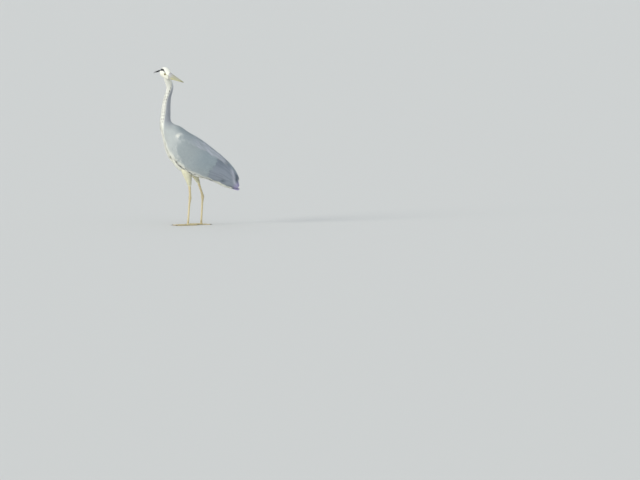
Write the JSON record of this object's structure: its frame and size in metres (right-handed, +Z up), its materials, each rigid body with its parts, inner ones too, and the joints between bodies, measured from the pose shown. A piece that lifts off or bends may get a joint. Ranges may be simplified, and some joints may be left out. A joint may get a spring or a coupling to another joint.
{
  "type": "grey heron model",
  "caption": "Life-size still model of a grey heron standing on both legs, with the neck up and the head turned back over the left shoulder.",
  "frame": {"origin": "on the floor, under the middle of the whole bird's box", "axes": "+Z up, the breast faces -X, the bird's left side faces -Y"},
  "size_m": [0.4948, 0.2148, 0.868],
  "materials": {
    "pale_plumage": "soft white feathers",
    "neck_plumage": "soft pale grey feathers with a white front",
    "body_plumage": "soft ash grey feathers",
    "wing_plumage": "smooth grey feathers",
    "flight_plumage": "slate flight feathers",
    "tail_plumage": "grey tail feathers over white coverts",
    "black_plumage": "black plumes",
    "bill_horn": "satin yellowish horn",
    "leg_skin": "scaly skin",
    "claw_horn": "dark horn",
    "eye": "glossy, yellow round a black pupil"
  },
  "bodies": {
    "root": {"head": "pale_plumage", "bill_upper": "bill_horn", "bill_lower": "bill_horn", "eye_left": "eye", "eye_right": "eye", "crest_left": "black_plumage", "crest_right": "black_plumage", "neck_upper": "neck_plumage", "neck_middle": "neck_plumage", "neck_lower": "neck_plumage", "trunk": "body_plumage", "tail": "tail_plumage", "wing_left": "wing_plumage", "primaries_left": "flight_plumage", "thigh_left": "pale_plumage", "shin_left": "leg_skin", "ankle_left": "leg_skin", "tarsus_left": "leg_skin", "foot_left": "leg_skin", "toe_inner_left": "leg_skin", "claw_inner_left": "claw_horn", "toe_middle_left": "leg_skin", "claw_middle_left": "claw_horn", "toe_outer_left": "leg_skin", "claw_outer_left": "claw_horn", "toe_hind_left": "leg_skin", "claw_hind_left": "claw_horn", "wing_right": "wing_plumage", "primaries_right": "flight_plumage", "thigh_right": "pale_plumage", "shin_right": "leg_skin", "ankle_right": "leg_skin", "tarsus_right": "leg_skin", "foot_right": "leg_skin", "toe_inner_right": "leg_skin", "claw_inner_right": "claw_horn", "toe_middle_right": "leg_skin", "claw_middle_right": "claw_horn", "toe_outer_right": "leg_skin", "claw_outer_right": "claw_horn", "toe_hind_right": "leg_skin", "claw_hind_right": "claw_horn"}
  },
  "joints": []
}
